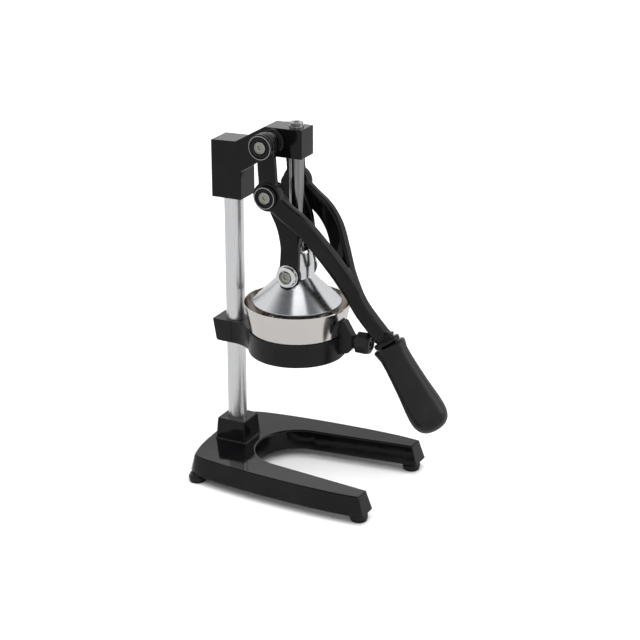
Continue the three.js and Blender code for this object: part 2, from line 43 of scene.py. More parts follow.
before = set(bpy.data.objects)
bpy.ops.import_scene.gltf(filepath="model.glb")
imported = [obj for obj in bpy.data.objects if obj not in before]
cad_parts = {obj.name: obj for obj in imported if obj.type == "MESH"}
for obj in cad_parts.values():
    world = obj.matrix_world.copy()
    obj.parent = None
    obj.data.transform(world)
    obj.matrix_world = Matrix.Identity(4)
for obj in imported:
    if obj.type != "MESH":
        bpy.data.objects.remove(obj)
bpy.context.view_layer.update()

MM = 0.001
SIDES = (("left", -1), ("right", 1))


def middle(node):
    """The middle of a frame node's box."""
    low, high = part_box(node)
    return (Vector(low) + Vector(high)) / 2


COLUMN_Y = middle("column").y
PRESS_REACH = (COLUMN_Y - middle("press_cone").y) / MM
LEVER_PIVOT = (55.0, 376.2)
CRANK_PIVOT = (58.6, 323.6)
LINK_PIVOT = (PRESS_REACH, 236.0)
COLLAR = (178.6, 173.2)
GRIP_SLOPE = (0.552, -0.834)
CUP_RIM = 202.5
CUP_RIM_RADIUS = 57.0
CUP_TAPER = 0.215
CUP_SEAT = 163.0


# ---- sizes and colours a user would change ----
def length(name, description, default, low, high):
    """A size in metres for the panel."""
    return FloatProperty(name=name, description=description, default=default, min=low, max=high,
                         unit="LENGTH")


def steps_round(name, description, default, low, high):
    """A number of faces for the panel."""
    return IntProperty(name=name, description=description, default=default, min=low, max=high)


def colour(name, description, *default):
    """A finish's colour for the panel."""
    return FloatVectorProperty(name=name, description=description, default=default, min=0, max=1,
                               subtype="COLOR")


class PressSizes(bpy.types.PropertyGroup):
    casting_edge: length("Casting edge", "Rounding along the edges of the castings", 0.0018, 0.0003, 0.003)
    plate_edge: length("Link edge", "Rounding along the edges of the links", 0.001, 0.0003, 0.002)
    cup_wall: length("Cup wall", "Sheet thickness of the juice cup", 0.0011, 0.0006, 0.0012)
    strainer_wall: length("Strainer wall", "Sheet thickness of the strainer", 0.0012, 0.0006, 0.0014)
    lever_grain: length("Lever fineness", "Size of the cells that blend the lever", 0.001, 0.0008, 0.002)
    turning_steps: steps_round("Turning steps", "Faces round each large turned piece", 96, 32, 160)
    small_steps: steps_round("Small turning steps", "Faces round each small turned piece", 48, 24, 96)


class PressColours(bpy.types.PropertyGroup):
    enamel: colour("Enamel", "Gloss enamel of the castings", 0.003, 0.003, 0.0036)
    satin: colour("Satin enamel", "Enamel of the cup's bracket", 0.0045, 0.0045, 0.0052)
    rubber: colour("Rubber", "Grip, feet and stop bumper", 0.004, 0.0041, 0.0048)
    chrome: colour("Chrome", "Column, and the links' caps and discs", 0.82, 0.825, 0.83)
    stainless: colour("Stainless steel", "Cup and strainer", 0.76, 0.73, 0.70)
    aluminium: colour("Aluminium", "Press cone", 0.80, 0.81, 0.82)
    zinc: colour("Zinc plate", "Screws and pins", 0.36, 0.36, 0.3)
    floor: colour("Floor", "The pale floor", 0.93, 0.93, 0.935)


# ---- points and outlines, given in millimetres ----
def spot(x, forward, z):
    """A point across, forward of the column and up, in millimetres, as the scene's metres."""
    return Vector((x * MM, COLUMN_Y - forward * MM, z * MM))


def soften(points, closed=False, steps=4):
    """A path of (a, b) or (a, b, radius) corners, with an arc at each corner that has a radius."""
    path = []
    for i, point in enumerate(points):
        here = Vector(point[:2])
        radius = point[2] if len(point) > 2 else 0.0
        inside = closed or 0 < i < len(points) - 1
        if radius <= 0 or not inside:
            path.append(here)
            continue
        back = Vector(points[i - 1][:2]) - here
        ahead = Vector(points[(i + 1) % len(points)][:2]) - here
        half = back.angle(ahead) / 2
        reach = min(radius / math.tan(half), 0.49 * back.length, 0.49 * ahead.length)
        start = here + back.normalized() * reach
        end = here + ahead.normalized() * reach
        toward = (back.normalized() + ahead.normalized()).normalized()
        centre = here + toward * (reach / math.cos(half))
        arm = start - centre
        other = end - centre
        sweep = arm.angle_signed(other)
        path += [centre + Matrix.Rotation(-sweep * k / steps, 2) @ arm for k in range(steps + 1)]
    return path


def smooth_path(points, steps):
    """Points and directions along a smooth curve through the given points."""
    spread = [points[0], *points, points[-1]]
    places = []
    for i in range(len(points) - 1):
        a, b, c, d = (Vector(p) for p in spread[i:i + 4])
        for k in range(steps + (i == len(points) - 2)):
            t = k / steps
            places.append(0.5 * (2 * b + (c - a) * t + (2 * a - 5 * b + 4 * c - d) * t ** 2
                                 + (3 * b - a - 3 * c + d) * t ** 3))
    ways = [places[min(i + 1, len(places) - 1)] - places[max(i - 1, 0)] for i in range(len(places))]
    return places, [way.normalized() for way in ways]


def bar_outline(points, widths, steps=6):
    """Outline of a flat bar along a curve, with widths spread evenly over it."""
    places, ways = smooth_path(points, steps)
    left, right = [], []
    for i, (at, way) in enumerate(zip(places, ways)):
        t = i / (len(places) - 1) * (len(widths) - 1)
        low = min(int(t), len(widths) - 2)
        half = (widths[low] + (widths[low + 1] - widths[low]) * (t - low)) / 2
        aside = Vector((-way.y, way.x)) * half
        left.append(at + aside)
        right.insert(0, at - aside)
    return left + right


def inset(points, amount):
    """A closed outline moved inwards, each point along the mean of its two edges' normals."""
    count = len(points)
    moved = []
    for i, here in enumerate(points):
        along = (points[(i + 1) % count] - points[i - 1]).normalized()
        moved.append(here + Vector((-along.y, along.x)) * amount)
    return moved


# ---- shapes ----
def loft(bm, rings, capped=(False, False)):
    """Carries a closed ring of points through each ring in turn; optional faces close the two ends."""
    verts = [bm.verts.new(p) for p in rings[0]]
    count = len(verts)
    edges = [bm.edges.new((verts[i], verts[(i + 1) % count])) for i in range(count)]
    if capped[0]:
        bm.faces.new(verts)
    for ring in rings[1:]:
        index = {tuple(v.co): i for i, v in enumerate(verts)}
        made = bmesh.ops.extrude_edge_only(bm, edges=edges)["geom"]
        fresh = {v for v in made if isinstance(v, bmesh.types.BMVert)}
        edges = [e for e in made if isinstance(e, bmesh.types.BMEdge) and set(e.verts) <= fresh]
        ordered = [None] * count
        for v in fresh:
            ordered[index[tuple(v.co)]] = v
        for v, place in zip(ordered, ring):
            v.co = place
        verts = ordered
    if capped[1]:
        bm.faces.new(verts)


def turn(bm, profile, centre, axis, start, steps):
    """Spins a profile of (radius, distance along the axis), in millimetres, right round its axis."""
    before = set(bm.verts)
    verts = [bm.verts.new(centre + start * (r * MM) + axis * (h * MM)) for r, h in profile]
    edges = [bm.edges.new(pair) for pair in zip(verts, verts[1:])]
    bmesh.ops.spin(bm, geom=verts + edges, cent=centre, axis=axis, dvec=(0, 0, 0),
                   angle=2 * math.pi, steps=steps, use_merge=True, use_duplicate=False)
    return [v for v in bm.verts if v not in before]


def turn_up(bm, profile, forward, steps, x=0.0):
    """A turned piece on an upright axis; the profile's distances are heights."""
    turn(bm, profile, spot(x, forward, 0), Vector((0, 0, 1)), Vector((1, 0, 0)), steps)


def turn_across(bm, profile, pivot, side, steps):
    """A turned piece on a sideways axis; the profile's distances are from the press's middle."""
    turn(bm, profile, spot(0, *pivot), Vector((side, 0, 0)), Vector((0, 0, 1)), steps)


def turn_on_grip(bm, profile, steps):
    """A turned piece on the grip's axis; the profile's distances are past the collar."""
    axis = Vector((0, -GRIP_SLOPE[0], GRIP_SLOPE[1])).normalized()
    turn(bm, profile, spot(0, *COLLAR), axis, Vector((1, 0, 0)), steps)


def round_edges(bm, edges, size, segments):
    """Rounds edges by a size in metres."""
    bmesh.ops.bevel(bm, geom=edges, offset=size, offset_type="OFFSET", segments=segments,
                    profile=0.5, affect="EDGES", clamp_overlap=True, material=-1)


def side_slab(bm, outline, x0, x1, edge, segments=3):
    """A side-view outline (forward, height) carried between two distances across, its long edges rounded."""
    verts = [bm.verts.new(spot(x0, *point)) for point in outline]
    face = bm.faces.new(verts)
    made = bmesh.ops.extrude_face_region(bm, geom=[face])["geom"]
    top = [v for v in made if isinstance(v, bmesh.types.BMVert)]
    bmesh.ops.translate(bm, verts=top, vec=((x1 - x0) * MM, 0, 0))
    far = set(top)
    rims = [e for e in {e for v in verts + top for e in v.link_edges}
            if (e.verts[0] in far) == (e.verts[1] in far)]
    round_edges(bm, rims, edge, segments)


def bent_bar(bm, points, section):
    """A bar along (across, forward, height) points; its section is points of (across, up)."""
    places, ways = smooth_path(points, 5)
    rings = []
    for at, way in zip(places, ways):
        up = way.cross(Vector((1, 0, 0))).normalized()
        over = up.cross(way).normalized()
        rings.append([spot(*(at + over * a + up * b)) for a, b in section])
    loft(bm, rings, (True, True))


def tidy_mesh(bm):
    """Closes seams and poles, and points the faces outwards."""
    bmesh.ops.remove_doubles(bm, verts=bm.verts, dist=1e-6)
    bmesh.ops.recalc_face_normals(bm, faces=bm.faces)


def to_object(bm, name, materials, sharp=32.0):
    """The shape as an object, shaded smooth except at edges sharper than an angle, in degrees."""
    mesh = bpy.data.meshes.new(name)
    bm.to_mesh(mesh)
    bm.free()
    for material in materials:
        mesh.materials.append(material)
    mesh.shade_smooth()
    mesh.set_sharp_from_angle(angle=math.radians(sharp))
    made = bpy.data.objects.new(name, mesh)
    bpy.context.scene.collection.objects.link(made)
    return made


def weight_normals(made):
    """Keeps large flat faces flat in the shading next to their rounded edges."""
    modifier = made.modifiers.new("Flat faces", "WEIGHTED_NORMAL")
    modifier.keep_sharp = True


def bake(made):
    """Works the object's modifiers into its mesh."""
    graph = bpy.context.evaluated_depsgraph_get()
    mesh = bpy.data.meshes.new_from_object(made.evaluated_get(graph))
    old = made.data
    made.modifiers.clear()
    made.data = mesh
    mesh.name = made.name
    bpy.data.meshes.remove(old)


def carve(made, cutters):
    """Cuts the cutters' shapes out of a piece and removes the cutters."""
    for cutter in cutters:
        modifier = made.modifiers.new("Cut", "BOOLEAN")
        modifier.operation = "DIFFERENCE"
        modifier.solver = "EXACT"
        modifier.object = cutter
    bake(made)
    for cutter in cutters:
        bpy.data.objects.remove(cutter)


def install(made, body, node):
    """Puts the piece on its body in place of the frame's own solid."""
    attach(made, body)
    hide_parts(node)


def finish_piece(bm, name, finish, body, node, sharp=32.0):
    """Makes a whole shape the piece that stands in for a node."""
    tidy_mesh(bm)
    install(to_object(bm, name, [FINISH[finish]], sharp), body, node)


def upright_piece(words, finish, profile, forward, steps, body, node, sharp=32.0):
    """A piece turned on an upright axis at a distance forward of the column."""
    bm = bmesh.new()
    turn_up(bm, profile, forward, steps)
    finish_piece(bm, words, finish, body, node, sharp)


def plate_with_zinc(*nodes):
    """Gives the frame's own hidden screws and nuts their finish."""
    for node in nodes:
        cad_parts[node].data.materials.clear()
        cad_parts[node].data.materials.append(FINISH["zinc"])


# ---- finishes ----
FINISH = {}
EFFECT = {}


def wire(tree, kind, **values):
    """A shader node with its inputs set to values or linked to other nodes' outputs."""
    node = tree.nodes.new(kind)
    for name, value in values.items():
        label = name.replace("_", " ")
        if hasattr(node, name) and label not in node.inputs:
            setattr(node, name, value)
            continue
        socket = node.inputs[label]
        if isinstance(value, bpy.types.NodeSocket):
            tree.links.new(value, socket)
        else:
            socket.default_value = value
    return node


def group(name, inputs, outputs):
    """An empty shader node group with named inputs and outputs."""
    made = bpy.data.node_groups.new(name, "ShaderNodeTree")
    for label, kind, value in inputs:
        socket = made.interface.new_socket(label, in_out="INPUT", socket_type=kind)
        if value is not None:
            socket.default_value = value
    for label, kind in outputs:
        made.interface.new_socket(label, in_out="OUTPUT", socket_type=kind)
    return made, made.nodes.new("NodeGroupInput"), made.nodes.new("NodeGroupOutput")


def casting_group():
    """The slow waves and fine orange peel of enamel over a sand casting."""
    made, start, end = group(
        "Enamelled casting",
        [("Vector", "NodeSocketVector", None), ("Waves", "NodeSocketFloat", 90.0),
         ("Peel", "NodeSocketFloat", 900.0)],
        [("Height", "NodeSocketFloat"), ("Dust", "NodeSocketFloat")])
    waves = wire(made, "ShaderNodeTexNoise", Vector=start.outputs["Vector"],
                 Scale=start.outputs["Waves"], Detail=2.0, Roughness=0.45)
    peel = wire(made, "ShaderNodeTexNoise", Vector=start.outputs["Vector"],
                Scale=start.outputs["Peel"], Detail=1.0, Roughness=0.4)
    dust = wire(made, "ShaderNodeTexNoise", Vector=start.outputs["Vector"], Scale=34.0, Detail=6.0,
                Roughness=0.62)
    fine = wire(made, "ShaderNodeMath", operation="MULTIPLY")
    made.links.new(peel.outputs["Fac"], fine.inputs[0])
    fine.inputs[1].default_value = 0.12
    total = wire(made, "ShaderNodeMath", operation="ADD")
    made.links.new(waves.outputs["Fac"], total.inputs[0])
    made.links.new(fine.outputs[0], total.inputs[1])
    spread = wire(made, "ShaderNodeMapRange", Value=dust.outputs["Fac"])
    spread.inputs["From Min"].default_value = 0.42
    spread.inputs["From Max"].default_value = 0.78
    made.links.new(total.outputs[0], end.inputs["Height"])
    made.links.new(spread.outputs["Result"], end.inputs["Dust"])
    return made


def brushed_group():
    """Fine streaks drawn out along one direction; the vector comes in already stretched."""
    made, start, end = group(
        "Brushed metal",
        [("Vector", "NodeSocketVector", None), ("Scale", "NodeSocketFloat", 900.0)],
        [("Height", "NodeSocketFloat"), ("Streaks", "NodeSocketFloat")])
    lines = wire(made, "ShaderNodeTexNoise", Vector=start.outputs["Vector"],
                 Scale=start.outputs["Scale"], Detail=4.0, Roughness=0.65)
    spread = wire(made, "ShaderNodeMapRange", Value=lines.outputs["Fac"])
    spread.inputs["From Min"].default_value = 0.3
    spread.inputs["From Max"].default_value = 0.7
    made.links.new(lines.outputs["Fac"], end.inputs["Height"])
    made.links.new(spread.outputs["Result"], end.inputs["Streaks"])
    return made


def start_material(name, color, metallic, roughness):
    """A material with its shader set, and its node tree for what comes next."""
    material = bpy.data.materials.new(name)
    material.use_nodes = True
    tree = material.node_tree
    shader = tree.nodes["Principled BSDF"]
    shader.inputs["Base Color"].default_value = (*color, 1)
    shader.inputs["Metallic"].default_value = metallic
    shader.inputs["Roughness"].default_value = roughness
    material.diffuse_color = (*color, 1)
    return material, tree, shader


def place_in(tree, node_group, vector, **values):
    """A shared effect in one material, with that material's own values."""
    node = tree.nodes.new("ShaderNodeGroup")
    node.node_tree = node_group
    tree.links.new(vector, node.inputs["Vector"])
    for label, value in values.items():
        node.inputs[label].default_value = value
    return node


def between(tree, value, low, high):
    """The value's range from nothing to full, spread between two figures."""
    made = wire(tree, "ShaderNodeMapRange", Value=value)
    made.inputs["To Min"].default_value = low
    made.inputs["To Max"].default_value = high
    return made.outputs["Result"]


def mixed(tree, mask, first, second):
    """One colour where the mask is nothing, and the other where it is full."""
    made = tree.nodes.new("ShaderNodeMix")
    made.data_type = "RGBA"
    tree.links.new(mask, made.inputs["Factor"])
    made.inputs[6].default_value = (*first, 1)
    made.inputs[7].default_value = (*second, 1)
    return made.outputs[2]


def bump(tree, shader, height, strength, distance):
    """Raises the surface's fine relief by a height's pattern."""
    made = wire(tree, "ShaderNodeBump", Strength=strength, Distance=distance, Height=height)
    tree.links.new(made.outputs["Normal"], shader.inputs["Normal"])


def object_place(tree):
    """The place on the piece that its patterns follow."""
    return tree.nodes.new("ShaderNodeTexCoord").outputs["Object"]


def coated_material(name, color, smooth, rough, specular, dusting, grain, depth, **pattern):
    """Enamel or rubber: a dark skin with slow waves, a fine peel and a little dust."""
    material, tree, shader = start_material(name, color, 0.0, smooth)
    skin = place_in(tree, EFFECT["casting"], object_place(tree), **pattern)
    dusty = tuple(c * dusting + 0.002 for c in color)
    tree.links.new(mixed(tree, skin.outputs["Dust"], color, dusty), shader.inputs["Base Color"])
    tree.links.new(between(tree, skin.outputs["Dust"], smooth, rough), shader.inputs["Roughness"])
    shader.inputs["Specular IOR Level"].default_value = specular
    bump(tree, shader, skin.outputs["Height"], grain, depth)
    return material


def streaked(tree, shader, vector, color, smooth, rough, grain, depth, scale, tint):
    """Lays fine brush marks over a metal's colour, gloss and surface; with a deep tint, as on the rod, the
    darkened marks are painted dark reflections.
    """
    marks = place_in(tree, EFFECT["brushed"], vector, Scale=scale)
    darker = tuple(c * tint for c in color)
    tree.links.new(mixed(tree, marks.outputs["Streaks"], darker, color), shader.inputs["Base Color"])
    tree.links.new(between(tree, marks.outputs["Streaks"], smooth, rough), shader.inputs["Roughness"])
    bump(tree, shader, marks.outputs["Height"], grain, depth)


def metal_material(name, color, stretch, smooth, rough, depth, scale=900.0, tint=0.9):
    """Metal with fine marks, drawn out along the directions where stretch is small."""
    material, tree, shader = start_material(name, color, 1.0, smooth)
    stretched = wire(tree, "ShaderNodeMapping", Vector=object_place(tree))
    stretched.inputs["Scale"].default_value = stretch
    streaked(tree, shader, stretched.outputs["Vector"], color, smooth, rough, 0.3, depth, scale, tint)
    return material


def turned_material(name, color, centre, smooth, rough, depth):
    """Metal with the fine rings that a lathe leaves, round an upright axis through a point."""
    material, tree, shader = start_material(name, color, 1.0, smooth)
    centred = wire(tree, "ShaderNodeMapping", Vector=object_place(tree))
    centred.inputs["Location"].default_value = -centre
    flat = wire(tree, "ShaderNodeSeparateXYZ", Vector=centred.outputs["Vector"])
    level = wire(tree, "ShaderNodeCombineXYZ", X=flat.outputs["X"], Y=flat.outputs["Y"])
    radius = tree.nodes.new("ShaderNodeVectorMath")
    radius.operation = "LENGTH"
    tree.links.new(level.outputs[0], radius.inputs[0])
    rings = wire(tree, "ShaderNodeCombineXYZ", X=radius.outputs["Value"], Z=flat.outputs["Z"])
    streaked(tree, shader, rings.outputs[0], color, smooth, rough, 0.35, depth, 1400.0, 0.9)
    return material


def mix_finishes(colours):
    """Builds each finish once, from the colours in the panel."""
    EFFECT["casting"] = casting_group()
    EFFECT["brushed"] = brushed_group()
    axis = spot(0, PRESS_REACH, 0)
    even, upright = (1, 1, 1), (1, 1, 0.02)
    chrome = colours.chrome
    # smoothest and roughest gloss, specular, dusting, relief strength, relief depth
    FINISH["enamel"] = coated_material("gloss enamel", colours.enamel, 0.07, 0.13, 0.24, 1.7, 0.35, 0.0003)
    FINISH["satin"] = coated_material("satin enamel", colours.satin, 0.26, 0.38, 0.26, 1.7, 0.35, 0.0003)
    FINISH["rubber"] = coated_material("black rubber", colours.rubber, 0.3, 0.44, 0.3, 1.9, 0.5, 0.0002,
                                       Waves=260.0, Peel=2600.0)
    # directions of the marks, smoothest and roughest gloss, relief depth, fineness, darkest tint
    FINISH["chrome"] = metal_material("chrome plate", chrome, (1, 1, 0.03), 0.06, 0.12, 0.00003)
    FINISH["column"] = metal_material("column chrome", chrome, upright, 0.26, 0.34, 0.00003)
    # the rod's chrome is darkened to 0.5, and its streaks to 0.12 of that, as painted shade and painted dark
    # reflections of the head, links and arms round it
    FINISH["rod"] = metal_material("rod chrome with painted dark reflections", (0.5, 0.5, 0.51), (1, 1, 0.01), 0.1, 0.24, 0.0001,
                                   420.0, 0.12)
    FINISH["bead"] = metal_material("dark chrome", (0.4, 0.4, 0.41), even, 0.1, 0.2, 0.00003)
    FINISH["stainless"] = turned_material("polished stainless", colours.stainless, axis, 0.1, 0.17, 0.00003)
    FINISH["aluminium"] = turned_material("turned aluminium", colours.aluminium, axis, 0.14, 0.26, 0.00008)
    FINISH["zinc"] = metal_material("zinc plate", colours.zinc, even, 0.25, 0.4, 0.00006)
    FINISH["bronze"] = metal_material("bronze", (0.5, 0.3, 0.12), even, 0.3, 0.4, 0.00005)


# ---- base, feet, column ----
BASE_BOTTOM, BASE_TOP, BASE_FRONT = 9.8, 31.2, 183.5
BASE_DRAFT, BASE_END_DRAFT = 3.0, 6.5
BASE_OPENING, LEG_INNER = 46.4, 59.0


def base_outline(share):
    """The horseshoe seen from above, anticlockwise; share runs from its top to its wider underside."""
    grow = BASE_DRAFT * share
    ends = BASE_END_DRAFT * share
    front = BASE_FRONT + ends
    side = [(78 + grow, front), (80.4 + grow, 158), (80.4 + grow, 118), (77.6 + grow, 62),
            (72.5 + grow, 14), (66.5 + grow, -14), (56, -21 - ends), (30, -26 - ends), (0, -27.6 - ends)]
    right, _ = smooth_path(side, 6)
    left = [Vector((-p.x, p.y)) for p in reversed(right[:-1])]
    opening = BASE_OPENING - grow
    inside = [Vector((-(LEG_INNER - grow), front))]
    turns = 48
    for i in range(turns + 1):
        angle = math.pi * (1 + i / turns)
        inside.append(Vector((opening * math.cos(angle), PRESS_REACH + opening * math.sin(angle))))
    inside.append(Vector((LEG_INNER - grow, front)))
    return right + left + inside


def rounded_square(half, corner):
    """A square with rounded corners as points, anticlockwise."""
    steps = 6
    points = []
    for quarter, (x, y) in enumerate(((1, 1), (-1, 1), (-1, -1), (1, -1))):
        centre = Vector((x, y)) * (half - corner)
        for k in range(steps + 1):
            angle = math.pi / 2 * (quarter + k / steps)
            points.append(centre + corner * Vector((math.cos(angle), math.sin(angle))))
    return points


class PRESS_OT_base(bpy.types.Operator):
    """Horseshoe base with its square column boss, and the column's bolt under it"""

    bl_idname = "press.base"
    bl_label = "Base"

    def execute(self, context):
        edge = context.scene.press_sizes.casting_edge
        bm = bmesh.new()
        levels = ((0, BASE_TOP), (0.97, BASE_BOTTOM + 0.6), (0.86, BASE_BOTTOM))
        loft(bm, [[spot(p.x, p.y, z) for p in base_outline(share)] for share, z in levels], (True, True))
        rim = [e for e in bm.edges if all(v.co.z > (BASE_TOP - 0.1) * MM for v in e.verts)]
        round_edges(bm, rim, edge, 4)
        corners = [e for e in bm.edges if abs(e.verts[0].co.z - e.verts[1].co.z) > 10 * MM
                   and e.calc_face_angle(0) > math.radians(25)]
        round_edges(bm, corners, 1.2 * MM, 3)
        boss = [(19.6, 31.0), (18.8, 31.5), (18.2, 32.4), (17.9, 33.8), (16.4, 54.6), (16.25, 55.4),
                (15.9, 55.85), (15.3, 56.0)]
        rings = [[spot(p.x, p.y, z) for p in rounded_square(half, 1.5)] for half, z in boss]
        round_hole = [(11.2, 56.0), (10.7, 55.6), (10.6, 52.0)]
        square_points = rounded_square(1.0, 0.12)
        for radius, z in round_hole:
            rings.append([spot(p.x, p.y, z) for p in (q.normalized() * radius for q in square_points)])
        loft(bm, rings, (False, True))
        tidy_mesh(bm)
        made = to_object(bm, "base_casting", [FINISH["enamel"]])
        weight_normals(made)
        install(made, "frame", "base")
        plate_with_zinc("column_washer", "column_bolt")
        return {"FINISHED"}


class PRESS_OT_feet(bpy.types.Operator):
    """Four rubber feet"""

    bl_idname = "press.feet"
    bl_label = "Feet"

    def execute(self, context):
        profile = soften([(0, 0), (8.9, 0, 1.6), (9.7, 6.4, 1.2), (8.2, 7.6, 0.6), (7.9, 9.5), (0, 9.5)])
        for place in ("front_left", "front_right", "rear_left", "rear_right"):
            at = middle(f"foot_{place}")
            bm = bmesh.new()
            turn_up(bm, profile, (COLUMN_Y - at.y) / MM, context.scene.press_sizes.small_steps, at.x / MM)
            finish_piece(bm, f"rubber_foot_{place}", "rubber", "frame", f"foot_{place}")
        return {"FINISHED"}


class PRESS_OT_column(bpy.types.Operator):
    """Chromed column"""

    bl_idname = "press.column"
    bl_label = "Column"

    def execute(self, context):
        profile = soften([(0, 22.0), (10.2, 22.0, 0.8), (10.2, 360.0, 1.0), (0, 360.0)])
        upright_piece("column_bar", "column", profile, 0, context.scene.press_sizes.turning_steps,
                      "frame", "column")
        return {"FINISHED"}


# ---- cup bracket and stop ----
def cup_radius(z):
    """Outer radius of the cup's tapered wall at a height."""
    return CUP_RIM_RADIUS - (CUP_RIM - z) * CUP_TAPER


BRACKET_BOTTOM, BRACKET_TOP, BRACKET_HALF, BRACKET_REAR = 146.0, 171.0, 14.2, -21.4
RING_RADIUS, FLARE = 52.0, 34.0
SLANT_START, SLANT_LENGTH, SLANT_SIDES, SLANT_REAR = -8, 8, 0.05, 4.0
LUG_HALF = 5.8


def bracket_outline():
    """Clamp block, flare and ring seen from above, clockwise from the front of the ring."""
    flare_x = BRACKET_HALF + FLARE
    flare_u = PRESS_REACH - math.sqrt((RING_RADIUS + FLARE) ** 2 - flare_x ** 2)
    meet = math.atan2(PRESS_REACH - flare_u, -flare_x)
    half = [(0.0, BRACKET_REAR), (7.0, BRACKET_REAR)]
    half += [tuple(p) for p in soften([(7, BRACKET_REAR), (BRACKET_HALF, BRACKET_REAR, 1.6),
                                       (BRACKET_HALF, -10)], steps=5)[1:]]
    half += [(BRACKET_HALF, u) for u in (-4, 2, flare_u * 0.5)]
    turns = 18
    for i in range(turns + 1):
        angle = math.pi + (meet - math.pi) * i / turns
        half.append((flare_x + FLARE * math.cos(angle), flare_u + FLARE * math.sin(angle)))
    start = math.atan2(half[-1][1] - PRESS_REACH, half[-1][0])
    ring_turns = 44
    for i in range(1, ring_turns + 1):
        angle = start + (math.pi / 2 - start) * i / ring_turns
        half.append((RING_RADIUS * math.cos(angle), PRESS_REACH + RING_RADIUS * math.sin(angle)))
    half = [p for i, p in enumerate(half) if i == 0 or (Vector(p) - Vector(half[i - 1])).length > 0.05]
    mirrored = [(-x, u) for x, u in reversed(half[1:-1])]
    return [Vector(p) for p in half + mirrored]


class PRESS_OT_bracket(bpy.types.Operator):
    """Cup bracket: clamp block, flared arm, ring and front lug"""

    bl_idname = "press.bracket"
    bl_label = "Bracket"

    def execute(self, context):
        outline = bracket_outline()
        centre = Vector((0, PRESS_REACH))

        def round_in(radius, z):
            """The outline drawn in to a circle round the cup."""
            return [spot(*(centre + (p - centre).normalized() * radius), z) for p in outline]

        def drafted(amount, z):
            """The outline moved in, with the clamp block's slant at its rear."""
            slant = (BRACKET_TOP - z) / (BRACKET_TOP - BRACKET_BOTTOM)
            moved = []
            for p in inset(outline, amount):
                ease = max(0.0, min(1.0, (SLANT_START - p.y) / SLANT_LENGTH))
                moved.append(spot(p.x * (1 - SLANT_SIDES * slant * ease), p.y + SLANT_REAR * slant * ease, z))
            return moved

        rings = [round_in(r, z) for r, z in (
            (35.0, 146.8), (35.0, 150.2), (36.0, 150.9), (41.0, 152.2), (46.6, 157.2),
            (cup_radius(CUP_SEAT) + 0.35, CUP_SEAT), (cup_radius(170.5) + 0.32, 170.5),
            (cup_radius(170.5) + 0.75, BRACKET_TOP))]
        rings += [drafted(a, z) for a, z in (
            (0.55, BRACKET_TOP), (0.16, 170.8), (0.0, 170.2), (0.0, 163.0), (0.0, 148.2), (0.25, 147.1),
            (0.9, 146.3), (1.9, BRACKET_BOTTOM))]
        rings += [round_in(r, z) for r, z in ((36.0, BRACKET_BOTTOM), (35.0, 146.8))]
        lug = soften([(114, 151), (128, 152.4, 6), (136.2, 155.4, 3), (140.8, 161.5, 2), (140.8, 173.6, 2),
                      (131.2, 189.6, 1.8), (127.8, 189.2, 1.5), (122.6, 180.5, 4), (120.5, 172.0)], True)
        bm = bmesh.new()
        side_slab(bm, lug, -LUG_HALF, LUG_HALF, 1.2 * MM, 4)
        tidy_mesh(bm)
        front = to_object(bm, "front_lug", [])
        cup_space = bmesh.new()
        turn_up(cup_space, [(0, 152.4), (41.2, 152.4), (46.7, 157.2),
                            (cup_radius(CUP_SEAT) + 0.4, CUP_SEAT), (cup_radius(200) + 0.4, 200.0),
                            (0, 200.0)], PRESS_REACH, 96)
        tidy_mesh(cup_space)
        carve(front, [to_object(cup_space, "cup_space", [])])
        bm = bmesh.new()
        loft(bm, rings)
        turn_up(bm, [(0.02, 169.6), (10.9, 169.6), (10.9, 171.25), (10.3, 171.25), (0.02, 169.7)], 0, 48)
        tidy_mesh(bm)
        bm.from_mesh(front.data)
        bpy.data.objects.remove(front)
        made = to_object(bm, "bracket_casting", [FINISH["satin"]])
        weight_normals(made)
        install(made, "frame", "cup_bracket")
        return {"FINISHED"}


STOP_HEIGHT, STOP_LOBES, STOP_CORE, STOP_WAIST = 168.0, 8, 6.5, 0.93


class PRESS_OT_stop(bpy.types.Operator):
    """Lobed rubber stop on the bracket's lug, and its screw"""

    bl_idname = "press.stop"
    bl_label = "Stop bumper"

    def execute(self, context):
        forward = Vector((0, -1, 0))
        up = Vector((0, 0, 1))
        centre = spot(0, 0, STOP_HEIGHT)
        profile = soften([(3.1, 141.9), (7.8, 141.9, 0.6), (8.4, 144.0, 1.0), (11.9, 145.6, 1.8),
                          (12.1, 157.0, 2.4), (9.6, 160.3, 1.2), (5.8, 160.3, 0.6), (5.6, 156.4),
                          (3.1, 156.4), (3.1, 141.9)], steps=5)
        bm = bmesh.new()
        verts = turn(bm, profile, centre, forward, up, 96)
        wedge = 2 * math.pi / STOP_LOBES
        for v in verts:
            out = v.co - centre
            out.y = 0
            if out.length > STOP_CORE * MM:
                angle = math.atan2(out.x, out.z) % wedge
                v.co -= out * (1 - max(STOP_WAIST, math.cos(wedge / 2) / math.cos(angle - wedge / 2)))
        finish_piece(bm, "stop_knob", "rubber", "frame", "stop_bumper")
        bm = bmesh.new()
        screw = soften([(0, 131.3), (2.6, 131.3), (2.6, 156.8), (5.1, 156.8), (5.1, 159.4, 0.7),
                        (2.6, 159.5, 0.2), (2.3, 157.9), (0, 157.9)], steps=3)
        turn(bm, screw, centre, forward, up, 36)
        finish_piece(bm, "stop_bolt", "satin", "frame", "stop_screw")
        return {"FINISHED"}


